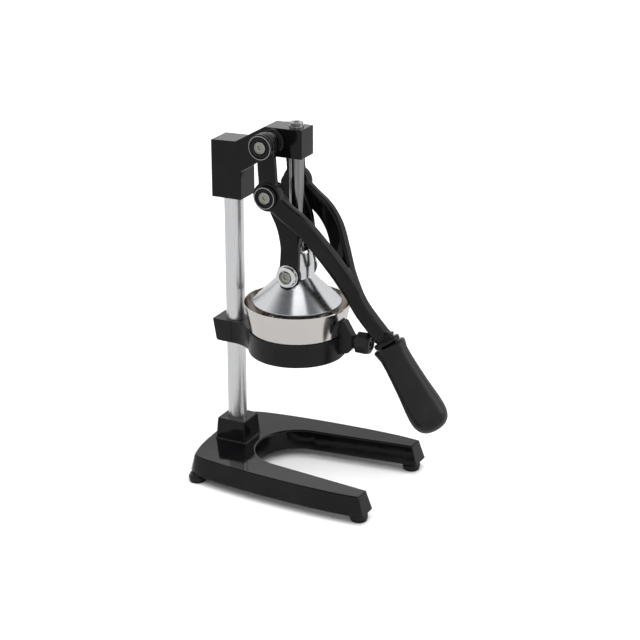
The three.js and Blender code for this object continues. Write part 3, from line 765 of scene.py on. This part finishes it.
# ---- cup and strainer ----
class PRESS_OT_cup(bpy.types.Operator):
    """Juice cup with a rounded rim and its spout"""

    bl_idname = "press.cup"
    bl_label = "Juice cup"

    def execute(self, context):
        sizes = context.scene.press_sizes
        wall = sizes.cup_wall / MM
        spout, lip = 14.1, CUP_RIM - 0.8
        lip_radius, rim_radius = cup_radius(lip), cup_radius(CUP_RIM) - 0.5
        outer = [(spout, 141.1), (spout, 149.2, 1.5), (36.4, 152.0, 6), (45.6, 157.0, 5),
                 (cup_radius(CUP_SEAT), CUP_SEAT, 4), (lip_radius, lip, 0.4), (rim_radius, CUP_RIM, 0.4)]
        bend = wall * 1.02
        inner = [(spout - wall, 141.1), (spout - bend, 149.2, 1), (36.4 - bend, 152.0 + wall * 0.9, 6),
                 (45.6 - bend, 157.0 + wall * 0.9, 5), (cup_radius(CUP_SEAT) - bend, CUP_SEAT, 4),
                 (lip_radius - wall, lip, 0.3), (rim_radius - wall * 0.4, CUP_RIM, 0.3)]
        profile = soften(outer + inner[::-1] + [outer[0]], steps=6)
        upright_piece("cup_bowl", "stainless", profile, PRESS_REACH, sizes.turning_steps,
                      "frame", "juice_cup", 40)
        return {"FINISHED"}


class PRESS_OT_strainer(bpy.types.Operator):
    """Slotted strainer dome inside the cup"""

    bl_idname = "press.strainer"
    bl_label = "Strainer"

    def execute(self, context):
        sizes = context.scene.press_sizes
        bm = bmesh.new()
        path = soften([(43.4, 167.2), (39.2, 167.2, 2), (30.2, 185.6, 10), (18, 200.6, 8), (0.02, 210.2)],
                      steps=6)
        dense = []
        row, slot_pitch, slot_width, slot_low, slot_high = 2.4, 15, 4.5, 175.5, 197
        for a, b in zip(path, path[1:]):
            pieces = max(1, round((b - a).length / row))
            dense += [a.lerp(b, k / pieces) for k in range(pieces)]
        dense.append(path[-1])
        turn_up(bm, dense, PRESS_REACH, 96)
        tidy_mesh(bm)
        gone = []
        for face in bm.faces:
            at = face.calc_center_median()
            angle = math.degrees(math.atan2(at.x, at.y - spot(0, PRESS_REACH, 0).y)) % slot_pitch
            if slot_low * MM < at.z < slot_high * MM and angle < slot_width:
                gone.append(face)
        bmesh.ops.delete(bm, geom=gone, context="FACES")
        made = to_object(bm, "strainer_dome", [FINISH["stainless"]], 50)
        wall = made.modifiers.new("Wall", "SOLIDIFY")
        wall.thickness = sizes.strainer_wall
        wall.offset = -1
        install(made, "frame", "strainer_cone")
        return {"FINISHED"}


# ---- head ----
class PRESS_OT_head(bpy.types.Operator):
    """Head casting over the column, with the rod's two bushes and the set screws"""

    bl_idname = "press.head"
    bl_label = "Head"

    def execute(self, context):
        edge = context.scene.press_sizes.casting_edge
        outline = soften([(-17.3, 308.4, 0.8), (16.9, 308.4, 0.8), (16.9, 339.4, 2.5), (50.8, 359.9, 5),
                          (86.7, 360.0, 0.8), (86.7, 390.4, 0.8), (44.5, 389.9, 3), (11, 370.7, 3),
                          (-17.3, 369.8, 0.8)], True, 6)
        bm = bmesh.new()
        half, narrowing, rear, depth = 16, 2.7, 17.3, 104.0
        side_slab(bm, outline, -half, half, edge, 4)
        for v in bm.verts:
            forward = (COLUMN_Y - v.co.y) / MM
            v.co.x *= 1 - (narrowing / half) * (forward + rear) / depth
        tidy_mesh(bm)
        made = to_object(bm, "head_casting", [FINISH["enamel"]])
        hole = bmesh.new()
        way = [(0, 355), (9.9, 355), (9.9, 387.9), (7.9, 387.9), (7.9, 395), (0, 395)]
        turn_up(hole, way, PRESS_REACH, 64)
        tidy_mesh(hole)
        carve(made, [to_object(hole, "rod_way", [])])
        weight_normals(made)
        install(made, "frame", "head")
        for name, low, high in (("lower", 360.6, 369.6), ("upper", 381.0, 387.6)):
            ring = [(7.8, low), (9.7, low), (9.7, high), (7.8, high), (7.8, low)]
            upright_piece(f"bush_{name}", "bronze", ring, PRESS_REACH, 48,
                          "frame", f"rod_bush_{name}")
        plate_with_zinc("head_set_screw", "bracket_set_screw")
        return {"FINISHED"}


# ---- pivots ----
def pivot_cap(bm, pivot, side, radius, x0, x1):
    """A black cap: a rounded rim with a fine bright bead inside it, and a dished face."""
    profile = soften([(3.3, x0), (radius - 0.4, x0, 0.3), (radius, x0 + 0.8, 0.4), (radius, x1 - 1.3, 0.9),
                      (radius - 1.0, x1 - 0.3, 0.5), (radius - 1.7, x1, 0.2), (radius - 2.3, x1 - 0.4, 0.2),
                      (radius - 3.0, x1 - 1.7, 0.8), (7.9, x1 - 1.1, 1.0), (7.0, x1 - 1.0, 0.3),
                      (6.7, x1 - 1.6), (6.6, x1 - 3.0), (3.3, x1 - 3.0), (3.3, x0)], steps=4)
    turn_across(bm, profile, pivot, side, 64)


def socket_screw(bm, pivot, side, seat, length):
    """A screw with a raised rim round a flat face, and a six-sided drive in it."""
    profile = soften([(0, seat - length), (2.9, seat - length), (2.9, seat), (6.3, seat),
                      (6.3, seat + 2.2, 0.4), (5.9, seat + 2.6, 0.3), (5.3, seat + 2.6, 0.3),
                      (5.0, seat + 1.7, 0.2), (3.3, seat + 1.9, 0.3), (2.8, seat + 1.7)], steps=3)
    turn_across(bm, profile, pivot, side, 48)
    steps = 48
    wedge = math.pi / 3
    rings = []
    for radius, x, sixth in ((2.8, seat + 1.7, 0.0), (2.7, seat + 1.5, 1.0), (2.6, seat + 0.3, 1.0)):
        ring = []
        for i in range(steps):
            angle = 2 * math.pi * i / steps
            flat = math.cos(wedge / 2) / math.cos((angle % wedge) - wedge / 2)
            r = radius * (1 + (flat - 1) * sixth)
            ring.append(spot(side * x, pivot[0] + math.sin(angle) * r, pivot[1] + math.cos(angle) * r))
        rings.append(ring)
    loft(bm, rings, (False, True))


def paint_ring(made, pivot, finish, near, far, beyond):
    """Gives another finish to the faces between two radii round a pivot, past a distance across."""
    made.data.materials.append(FINISH[finish])
    centre = spot(0, *pivot)
    for face in made.data.polygons:
        at = face.center - centre
        if near < math.hypot(at.y, at.z) / MM < far and abs(at.x) / MM > beyond:
            face.material_index = len(made.data.materials) - 1


def screw_piece(words, side, pivot, seat, length, rim, body, node):
    """A pivot's screw, with its raised rim in a finish of its own."""
    bm = bmesh.new()
    socket_screw(bm, pivot, side, seat, length)
    tidy_mesh(bm)
    made = to_object(bm, words, [FINISH["zinc"]])
    paint_ring(made, pivot, rim, 4.9, 6.5, seat + 0.4)
    install(made, body, node)


def cap_piece(words, side, pivot, radius, x0, x1, body, node):
    """A black pivot cap with its bead in dark chrome."""
    bm = bmesh.new()
    pivot_cap(bm, pivot, side, radius, x0, x1)
    tidy_mesh(bm)
    made = to_object(bm, words, [FINISH["enamel"]], 50)
    paint_ring(made, pivot, "bead", radius - 1.9, radius - 1.3, x1 - 0.5)
    install(made, body, node)


def turned_piece(words, finish, profile, pivot, side, body, node):
    """A small piece turned on a pivot's axis."""
    bm = bmesh.new()
    turn_across(bm, soften(profile), pivot, side, bpy.context.scene.press_sizes.small_steps)
    finish_piece(bm, words, finish, body, node)


class PRESS_OT_pivots(bpy.types.Operator):
    """Pivot shaft, spacers, caps and screws of the head, and the pins and caps of the crank"""

    bl_idname = "press.pivots"
    bl_label = "Pivots"

    def execute(self, context):
        spacer = [(6.3, 14.9), (13.3, 14.9, 0.4), (13.3, 17.2, 0.6), (11.3, 18.0, 0.4), (11.3, 20.4, 0.3),
                  (10.5, 20.9), (11.3, 21.4, 0.3), (11.3, 25.5, 0.4), (6.3, 25.5), (6.3, 14.9)]
        pin = [(3.3, 26.0), (5.9, 26.0, 0.4), (5.9, 37.6, 0.4), (3.3, 37.6), (3.3, 26.0)]
        for name, side in SIDES:
            turned_piece(f"spacer_{name}", "enamel", spacer, LEVER_PIVOT, side,
                         "frame", f"pivot_spacer_{name}")
            cap_piece(f"crank_rosette_{name}", side, CRANK_PIVOT, 12.4, 38.0, 42.4,
                      "lever", f"crank_cap_{name}")
            screw_piece(f"crank_bolt_{name}", side, CRANK_PIVOT, 39.7, 9, "bead",
                        "lever", f"crank_screw_{name}")
            turned_piece(f"crank_stud_{name}", "zinc", pin, CRANK_PIVOT, side, "lever", f"crank_pin_{name}")
        cap_piece("head_rosette", -1, LEVER_PIVOT, 13.5, 39.3, 44.2, "frame", "pivot_cap_left")
        screw_piece("head_bolt_left", -1, LEVER_PIVOT, 41.5, 15, "bead", "frame", "pivot_screw_left")
        washer = [(3.3, 35.7), (6.9, 35.7, 0.3), (6.9, 37.4, 0.5), (3.3, 37.4), (3.3, 35.7)]
        turned_piece("head_washer", "enamel", washer, LEVER_PIVOT, 1, "frame", "pivot_washer_right")
        screw_piece("head_bolt_right", 1, LEVER_PIVOT, 37.8, 12, "bead", "frame", "pivot_screw_right")
        shaft = [(0, -39), (5.9, -39, 0.6), (5.9, 35.1, 0.6), (0, 35.1)]
        turned_piece("head_shaft", "zinc", shaft, LEVER_PIVOT, 1, "frame", "lever_pivot_shaft")
        return {"FINISHED"}


# ---- lever ----
ARM = [(31, *CRANK_PIVOT), (30.4, 76, 309.3), (28.6, 92.5, 297.3), (24.1, 106.2, 281.5), (14.6, 118, 261),
       (5, 129.4, 239), (0, 140.6, 219)]
BAR = [(0, 127, 245), (0, 134.8, 230.4), (0, 147.8, 207.6), (0, 162.6, 190.2), (0, 178.6, 173.2)]


def chamfered(half_across, half_up, corner):
    """A bar's section with flat-cut corners, as points round it."""
    a, b = half_across, half_up
    return [(a, b - corner), (a - corner, b), (-a + corner, b), (-a, b - corner),
            (-a, -b + corner), (-a + corner, -b), (a - corner, -b), (a, -b + corner)]


class PRESS_OT_lever(bpy.types.Operator):
    """Forked lever: side plates, crank bosses, two arms and the bar, blended as one casting"""

    bl_idname = "press.lever"
    bl_label = "Lever"

    def execute(self, context):
        sizes = context.scene.press_sizes
        bm = bmesh.new()
        for _, side in SIDES:
            bent_bar(bm, [(side * x, u, z) for x, u, z in ARM], chamfered(6.2, 9.7, 2.4))
            plate = bar_outline([CRANK_PIVOT, (56.8, 350), LEVER_PIVOT], [19.6, 19.8, 19.6], 3)
            side_slab(bm, plate, *sorted((side * 26.9, side * 35.0)), 1.2 * MM)
            eye, tip, far = (12.8, 12.8, 38.4) if side < 0 else (9.2, 7.5, 35.3)
            turn_across(bm, [(0, 26.2), (eye, 26.2), (tip, far), (0, far)], LEVER_PIVOT, side, 48)
            turn_across(bm, [(0, 26.2), (15.1, 26.2), (15.1, 37.0), (0, 37.0)], CRANK_PIVOT, side, 48)
        bent_bar(bm, BAR, chamfered(7.8, 8.6, 2.8))
        turn_on_grip(bm, [(0, -9), (9.4, -9), (9.6, 1.8), (8.0, 2.2), (8.0, 30), (0, 30)], 48)
        tidy_mesh(bm)
        made = to_object(bm, "lever_casting", [FINISH["enamel"]], 60)
        blend = made.modifiers.new("Blend", "REMESH")
        blend.mode = "VOXEL"
        blend.voxel_size = sizes.lever_grain
        bake(made)
        bm = bmesh.new()
        bm.from_mesh(made.data)
        for _ in range(4):
            bmesh.ops.smooth_vert(bm, verts=bm.verts, factor=0.5,
                                  use_axis_x=True, use_axis_y=True, use_axis_z=True)
        ring = soften([(8.6, -8.2), (11.2, -7.8, 1.2), (11.2, -5.0, 1.2), (8.8, -4.4)], steps=4)
        turn_on_grip(bm, ring, 64)
        flange = soften([(8.8, -3.6), (14.2, -3.4, 1.8), (14.5, 1.4, 1.8), (8.8, 2.2)], steps=5)
        turn_on_grip(bm, flange, 64)
        rim = soften([(11.6, 29.4), (13.2, 29.8, 0.5), (13.2, 33.0, 0.5), (12.3, 33.6, 0.2),
                      (13.3, 34.2, 0.5), (13.3, 38.5, 0.9), (7.0, 38.7)], steps=4)
        turn_across(bm, rim, LEVER_PIVOT, -1, 64)
        disc = soften([(14.2, 29.6), (15.4, 30.1, 0.6), (15.4, 37.2, 0.9), (7.0, 37.35)], steps=4)
        for _, side in SIDES:
            turn_across(bm, disc, CRANK_PIVOT, side, 64)
        bmesh.ops.recalc_face_normals(bm, faces=bm.faces)
        bm.to_mesh(made.data)
        bm.free()
        made.data.shade_smooth()
        made.data.set_sharp_from_angle(angle=math.radians(50))
        install(made, "lever", "lever")
        return {"FINISHED"}


class PRESS_OT_grip(bpy.types.Operator):
    """Soft grip with a guard lip at its top"""

    bl_idname = "press.grip"
    bl_label = "Grip"

    def execute(self, context):
        profile = soften([(8.4, 2.7), (16.6, 2.7, 1.2), (18.0, 4.6, 0.9), (17.2, 8.0, 4), (15.9, 14, 10),
                          (15.9, 24, 30), (16.6, 38, 60), (17.9, 56, 80), (19.7, 73, 50), (20.3, 82.5, 40),
                          (19.7, 91, 18), (16.8, 98.2, 12), (11.3, 102.6, 10), (5, 104.2, 10),
                          (0.02, 104.35)], steps=6)
        bm = bmesh.new()
        turn_on_grip(bm, profile, context.scene.press_sizes.turning_steps)
        finish_piece(bm, "grip_sleeve", "rubber", "lever", "handle_grip", 50)
        return {"FINISHED"}


# ---- links ----
LINK_PATH = [CRANK_PIVOT, (65, 307), (72.4, 289), (75.6, 268), (75.4, 252), LINK_PIVOT]


class PRESS_OT_links(bpy.types.Operator):
    """Two curved links with their pins, washers, caps and screws"""

    bl_idname = "press.links"
    bl_label = "Links"

    def execute(self, context):
        edge = context.scene.press_sizes.plate_edge
        eye = soften([(6.3, 15.0), (13.1, 15.0, 1.2), (13.1, 21.2, 1.2), (6.3, 21.2), (6.3, 15.0)])
        boss = soften([(0.02, 15.1), (11.3, 15.1, 1.0), (11.3, 25.6, 1.0), (0.02, 25.6)])
        disc = [(6.3, 21.5), (12.1, 21.5, 0.4), (12.1, 22.6, 0.4), (6.3, 22.6), (6.3, 21.5)]
        stud = [(3.3, 15.1), (5.9, 15.1), (5.9, 22.6), (3.3, 22.6), (3.3, 15.1)]
        flange = [(3.3, 23.3), (9.9, 23.3), (10.0, 24.3), (11.1, 24.5, 0.3), (11.1, 26.4, 0.7),
                  (9.9, 27.2, 0.8), (7.4, 27.3, 0.5), (6.8, 26.4, 0.3), (6.6, 24.4), (3.3, 24.4), (3.3, 23.3)]
        for name, side in SIDES:
            bm = bmesh.new()
            outline = bar_outline(LINK_PATH, [20, 24.5, 23, 20.5, 21, 22])
            side_slab(bm, outline, *sorted((side * 15.0, side * 21.1)), edge)
            turn_across(bm, eye, LINK_PIVOT, side, 64)
            turn_across(bm, boss, CRANK_PIVOT, side, 64)
            tidy_mesh(bm)
            made = to_object(bm, f"link_bar_{name}", [FINISH["enamel"]])
            weight_normals(made)
            install(made, "links", f"link_{name}")
            for words, finish, profile, node in (("link_disc", "chrome", disc, "link_washer"),
                                                 ("link_stud", "zinc", stud, "link_pin"),
                                                 ("link_flange", "chrome", flange, "link_cap")):
                turned_piece(f"{words}_{name}", finish, profile, LINK_PIVOT, side, "links", f"{node}_{name}")
            # the screw's rim takes the rod's chrome, with its painted shade and painted dark reflections
            screw_piece(f"link_bolt_{name}", side, LINK_PIVOT, 24.7, 8, "rod", "links", f"link_screw_{name}")
        return {"FINISHED"}


# ---- plunger ----
class PRESS_OT_plunger(bpy.types.Operator):
    """Plunger rod, press cone with flats for the links, and its nut"""

    bl_idname = "press.plunger"
    bl_label = "Plunger"

    def link_room(self, name, side):
        """The space beside one of the cone's flats in which a link's lower end turns."""
        flat, depth, eye_room, half_width, height = 14.7, 20, 13.5, 19, 28
        inner, outer = sorted((side * flat, side * (flat + depth)))
        u, z = LINK_PIVOT
        turns = 32
        outline = [(u + eye_room * math.cos(a), z - eye_room * math.sin(a))
                   for a in (math.pi * k / turns for k in range(turns + 1))]
        outline += [(u - half_width, z + 0.2), (u - half_width, z + height),
                    (u + half_width, z + height), (u + half_width, z + 0.2)]
        bm = bmesh.new()
        side_slab(bm, outline, inner, outer, 0.01 * MM, 1)
        bmesh.ops.recalc_face_normals(bm, faces=bm.faces)
        return to_object(bm, f"link_room_{name}", [])

    def execute(self, context):
        rod = soften([(0, 212), (4.9, 212, 0.5), (4.9, 226), (7.5, 226), (7.5, 392.2, 0.2),
                      (6.6, 392.7, 0.2), (6.6, 393.4, 0.2), (7.3, 394.0, 0.3), (6.9, 395.3, 0.5),
                      (3.2, 395.3, 0.2), (3.0, 394.2), (0.02, 394.2)], steps=3)
        # the rod's chrome carries painted shade and painted dark reflections of the head, links and arms round
        # it
        upright_piece("press_rod", "rod", rod, PRESS_REACH, 64, "plunger", "plunger_rod")
        bell = soften([(43.4, 199.7), (46.3, 199.7, 0.4), (46.7, 201.0, 0.3), (46.7, 203.0, 0.6),
                       (18.0, 231.7, 1.0), (18.0, 245.0, 16), (15.4, 259.0, 5), (14.0, 261.2, 0.8),
                       (7.9, 261.2, 0.4), (7.9, 225.8), (5.4, 225.8), (5.4, 219.1), (14, 219.1, 3),
                       (22, 217.0, 6), (43.4, 202.2, 1.0), (43.4, 199.7)], steps=5)
        bm = bmesh.new()
        turn_up(bm, bell, PRESS_REACH, 128)
        tidy_mesh(bm)
        made = to_object(bm, "cone_bell", [FINISH["aluminium"]], 40)
        carve(made, [self.link_room(name, side) for name, side in SIDES])
        made.data.set_sharp_from_angle(angle=math.radians(32))
        install(made, "plunger", "press_cone")
        plate_with_zinc("cone_nut")
        return {"FINISHED"}


# ---- stage ----
def by_camera_ray(tree, others, seen, end):
    """Shows one shader to the camera and another to every other ray."""
    rays = tree.nodes.new("ShaderNodeLightPath")
    blend = tree.nodes.new("ShaderNodeMixShader")
    tree.links.new(rays.outputs["Is Camera Ray"], blend.inputs["Fac"])
    tree.links.new(others.outputs[0], blend.inputs[1])
    tree.links.new(seen.outputs[0], blend.inputs[2])
    tree.links.new(blend.outputs[0], end.inputs["Surface"])


def place_holder(name, data, way, axis):
    """Puts a light or a camera in the scene with one of its axes along a direction."""
    holder = bpy.data.objects.new(name, data)
    holder.rotation_mode = "QUATERNION"
    holder.rotation_quaternion = way.to_track_quat(axis, "Y")
    bpy.context.scene.collection.objects.link(holder)
    return holder


def area_light(name, place, target, size, energy):
    """A soft rectangular light that faces a target."""
    light = bpy.data.lights.new(name, "AREA")
    light.shape = "RECTANGLE"
    light.size, light.size_y = size
    light.energy = energy
    place_holder(name, light, target - place, "-Z").location = place


CAMERA_PLACE, CAMERA_WAY, CAMERA_LENS = (-1544.7, 872.1, 851.7), (0.8346, 0.4167, -0.3603), 99.28
SKY = ((0.0, (0.85, 0.85, 0.86)), (0.62, (0.95, 0.95, 0.95)), (0.76, (0.4, 0.4, 0.4)),
       (0.82, (0.13, 0.135, 0.15)))


class PRESS_OT_stage(bpy.types.Operator):
    """Pale floor, soft studio lights and the camera"""

    bl_idname = "press.stage"
    bl_label = "Stage"

    def floor(self, color):
        """A pale floor that sends back less light than it shows."""
        material, tree, shader = start_material("pale floor", color, 0.0, 0.6)
        tree.nodes.remove(shader)
        end = tree.nodes["Material Output"]
        seen = wire(tree, "ShaderNodeBsdfDiffuse", Color=(*color, 1))
        bounced = wire(tree, "ShaderNodeBsdfDiffuse", Color=(0.5, 0.5, 0.5, 1))
        by_camera_ray(tree, bounced, seen, end)
        bm = bmesh.new()
        bmesh.ops.create_grid(bm, x_segments=1, y_segments=1, size=6.0)
        to_object(bm, "floor", [material])

    def sky(self, scene):
        """A studio that is bright round the sides and dark overhead, behind a white backdrop."""
        world = bpy.data.worlds.new("studio")
        scene.world = world
        world.use_nodes = True
        tree = world.node_tree
        tree.nodes.clear()
        where = tree.nodes.new("ShaderNodeTexCoord")
        parts = wire(tree, "ShaderNodeSeparateXYZ", Vector=where.outputs["Generated"])
        ramp = tree.nodes.new("ShaderNodeValToRGB")
        tree.links.new(parts.outputs["Z"], ramp.inputs["Fac"])
        stops = ramp.color_ramp.elements
        stops.remove(stops[1])
        stops[0].color = (*SKY[0][1], 1)
        for height, color in SKY[1:]:
            stops.new(height).color = (*color, 1)
        around = wire(tree, "ShaderNodeBackground", Color=ramp.outputs["Color"], Strength=0.9)
        behind = wire(tree, "ShaderNodeBackground", Color=(1, 1, 1, 1), Strength=1.1)
        by_camera_ray(tree, around, behind, tree.nodes.new("ShaderNodeOutputWorld"))

    def execute(self, context):
        scene = context.scene
        self.floor(scene.press_colours.floor)
        self.sky(scene)
        scene.view_settings.view_transform = "Standard"
        aim = spot(0, 80, 180)
        toward = Vector((-0.8884, -0.459, 0))
        aside = Vector((0.459, -0.8884, 0))
        up = Vector((0, 0, 1))
        sun = bpy.data.lights.new("soft overhead", "SUN")
        sun.energy = 3.0
        sun.angle = math.radians(70)
        place_holder("soft overhead", sun, 0.25 * toward + up, "Z").visible_glossy = False
        area_light("overhead panel", aim + 1.3 * (0.36 * toward + 0.06 * aside + 0.92 * up), aim,
                   (0.6, 0.3), 0.8)
        area_light("back", aim - 1.1 * toward + 0.62 * up, aim, (1.4, 0.42), 0.7)
        area_light("window side", aim + 1.2 * aside + 0.5 * up, aim, (0.5, 1.0), 2.4)
        camera = bpy.data.cameras.new("camera")
        camera.lens = CAMERA_LENS
        camera.sensor_width = 36
        camera.clip_start, camera.clip_end = 0.05, 30
        scene.camera = place_holder("camera", camera, Vector(CAMERA_WAY), "-Z")
        scene.camera.location = spot(*CAMERA_PLACE)
        return {"FINISHED"}


PIECES = (PRESS_OT_base, PRESS_OT_feet, PRESS_OT_column, PRESS_OT_bracket, PRESS_OT_stop, PRESS_OT_cup,
          PRESS_OT_strainer, PRESS_OT_head, PRESS_OT_pivots, PRESS_OT_lever, PRESS_OT_grip, PRESS_OT_links,
          PRESS_OT_plunger, PRESS_OT_stage)


class PRESS_PT_panel(bpy.types.Panel):
    """Sizes, colours and pieces of the citrus press"""

    bl_label = "Citrus press"
    bl_idname = "PRESS_PT_panel"
    bl_space_type = "VIEW_3D"
    bl_region_type = "UI"
    bl_category = "Citrus press"

    def draw(self, context):
        for settings in (context.scene.press_sizes, context.scene.press_colours):
            column = self.layout.column()
            for name in settings.__annotations__:
                column.prop(settings, name)
        for piece in PIECES:
            self.layout.operator(piece.bl_idname)


CLASSES = (PressSizes, PressColours, *PIECES, PRESS_PT_panel)


def register():
    for each in CLASSES:
        bpy.utils.register_class(each)
    bpy.types.Scene.press_sizes = PointerProperty(type=PressSizes)
    bpy.types.Scene.press_colours = PointerProperty(type=PressColours)


def unregister():
    del bpy.types.Scene.press_colours
    del bpy.types.Scene.press_sizes
    for each in reversed(CLASSES):
        bpy.utils.unregister_class(each)


def main():
    register()
    mix_finishes(bpy.context.scene.press_colours)
    press = bpy.ops.press
    for build in (press.base, press.feet, press.column, press.bracket, press.stop, press.cup, press.strainer,
                  press.head, press.pivots, press.lever, press.grip, press.links, press.plunger, press.stage):
        build()


if __name__ == "__main__":
    main()
